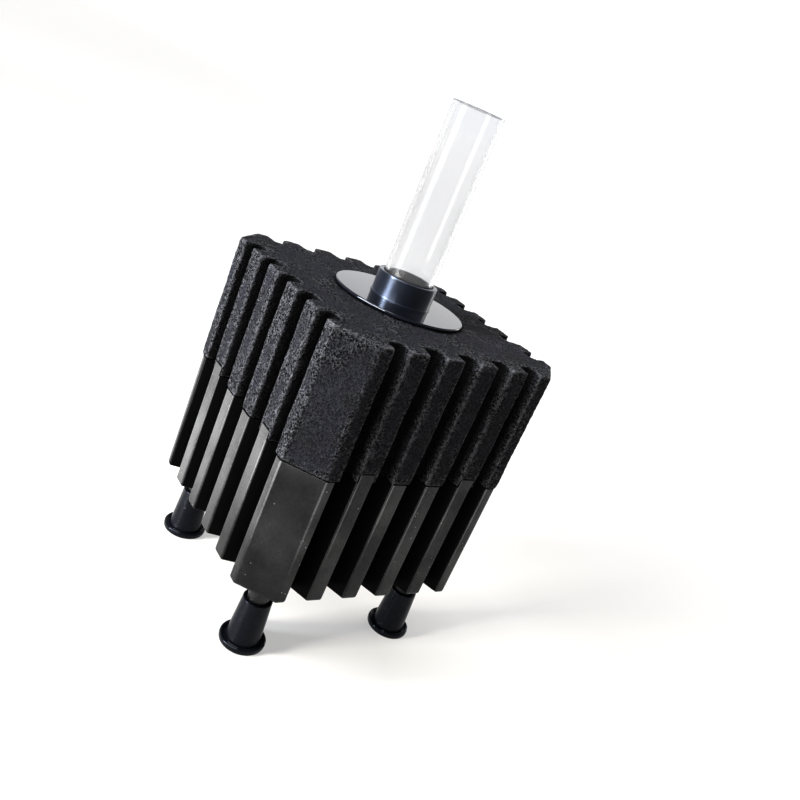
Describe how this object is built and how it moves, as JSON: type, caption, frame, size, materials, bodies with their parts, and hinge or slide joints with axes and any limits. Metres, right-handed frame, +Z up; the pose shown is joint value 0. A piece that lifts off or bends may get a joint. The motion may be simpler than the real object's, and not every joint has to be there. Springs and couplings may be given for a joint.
{
  "type": "sponge filter",
  "caption": "Air-driven aquarium sponge filter: ribbed foam block on a ribbed media box with push-on legs, round top plate and clear riser tube.",
  "frame": {"origin": "on the floor, at the centre of the four feet, on the riser tube's axis", "axes": "+Z up along the riser tube, +Y towards the back, +X to the right"},
  "size_m": [0.13, 0.13, 0.263],
  "materials": {
    "foam": "open-cell foam, matte",
    "satin_plastic": "satin moulded",
    "inner_plastic": "plain moulded",
    "gloss_plastic": "polished",
    "leg_plastic": "semi-gloss moulded",
    "clear_plastic": "clear acrylic",
    "ceramic": "unglazed, porous",
    "diffuser_stone": "sintered, porous"
  },
  "bodies": {
    "base": {"media_box": "satin_plastic", "core_tube": "inner_plastic", "ceramic_ring_01": "ceramic", "ceramic_ring_02": "ceramic", "ceramic_ring_03": "ceramic", "ceramic_ring_04": "ceramic", "ceramic_ring_05": "ceramic", "ceramic_ring_06": "ceramic", "ceramic_ring_07": "ceramic", "ceramic_ring_08": "ceramic", "ceramic_ring_09": "ceramic", "ceramic_ring_10": "ceramic", "ceramic_ring_11": "ceramic", "ceramic_ring_12": "ceramic", "ceramic_ring_13": "ceramic", "ceramic_ring_14": "ceramic", "ceramic_ring_15": "ceramic", "ceramic_ring_16": "ceramic", "ceramic_ring_17": "ceramic", "ceramic_ring_18": "ceramic", "ceramic_ring_19": "ceramic", "ceramic_ring_20": "ceramic", "ceramic_ring_21": "ceramic", "ceramic_ring_22": "ceramic", "ceramic_ring_23": "ceramic", "ceramic_ring_24": "ceramic", "ceramic_ring_25": "ceramic", "ceramic_ring_26": "ceramic", "ceramic_ring_27": "ceramic", "ceramic_ring_28": "ceramic", "ceramic_ring_29": "ceramic", "ceramic_ring_30": "ceramic", "ceramic_ring_31": "ceramic", "ceramic_ring_32": "ceramic", "ceramic_ring_33": "ceramic", "ceramic_ring_34": "ceramic", "ceramic_ring_35": "ceramic", "ceramic_ring_36": "ceramic", "ceramic_ring_37": "ceramic", "ceramic_ring_38": "ceramic", "ceramic_ring_39": "ceramic", "ceramic_ring_40": "ceramic"},
    "lid": {"media_lid": "inner_plastic"},
    "foam": {"foam_block": "foam"},
    "top": {"top_plate": "gloss_plastic", "riser_collar": "gloss_plastic", "air_nipple": "gloss_plastic", "air_pipe": "inner_plastic", "air_diffuser": "diffuser_stone"},
    "riser": {"riser_tube": "clear_plastic"},
    "leg_front_left": {"leg_front_left": "leg_plastic"},
    "leg_front_right": {"leg_front_right": "leg_plastic"},
    "leg_back_left": {"leg_back_left": "leg_plastic"},
    "leg_back_right": {"leg_back_right": "leg_plastic"}
  },
  "joints": [
    {"name": "lid_lift", "type": "slide", "parent": "base", "child": "lid", "axis": [0, 0, 1], "range_m": [0, 0.07]},
    {"name": "foam_lift", "type": "slide", "parent": "lid", "child": "foam", "axis": [0, 0, 1], "range_m": [0, 0.065]},
    {"name": "top_lift", "type": "slide", "parent": "foam", "child": "top", "axis": [0, 0, 1], "range_m": [0, 0.06]},
    {"name": "riser_slide", "type": "slide", "parent": "top", "child": "riser", "axis": [0, 0, 1], "range_m": [-0.02, 0.05]},
    {"name": "leg_front_left_pull", "type": "slide", "parent": "base", "child": "leg_front_left", "axis": [0, 0, -1], "range_m": [0, 0.0135]},
    {"name": "leg_front_right_pull", "type": "slide", "parent": "base", "child": "leg_front_right", "axis": [0, 0, -1], "range_m": [0, 0.0135]},
    {"name": "leg_back_left_pull", "type": "slide", "parent": "base", "child": "leg_back_left", "axis": [0, 0, -1], "range_m": [0, 0.0135]},
    {"name": "leg_back_right_pull", "type": "slide", "parent": "base", "child": "leg_back_right", "axis": [0, 0, -1], "range_m": [0, 0.0135]}
  ]
}
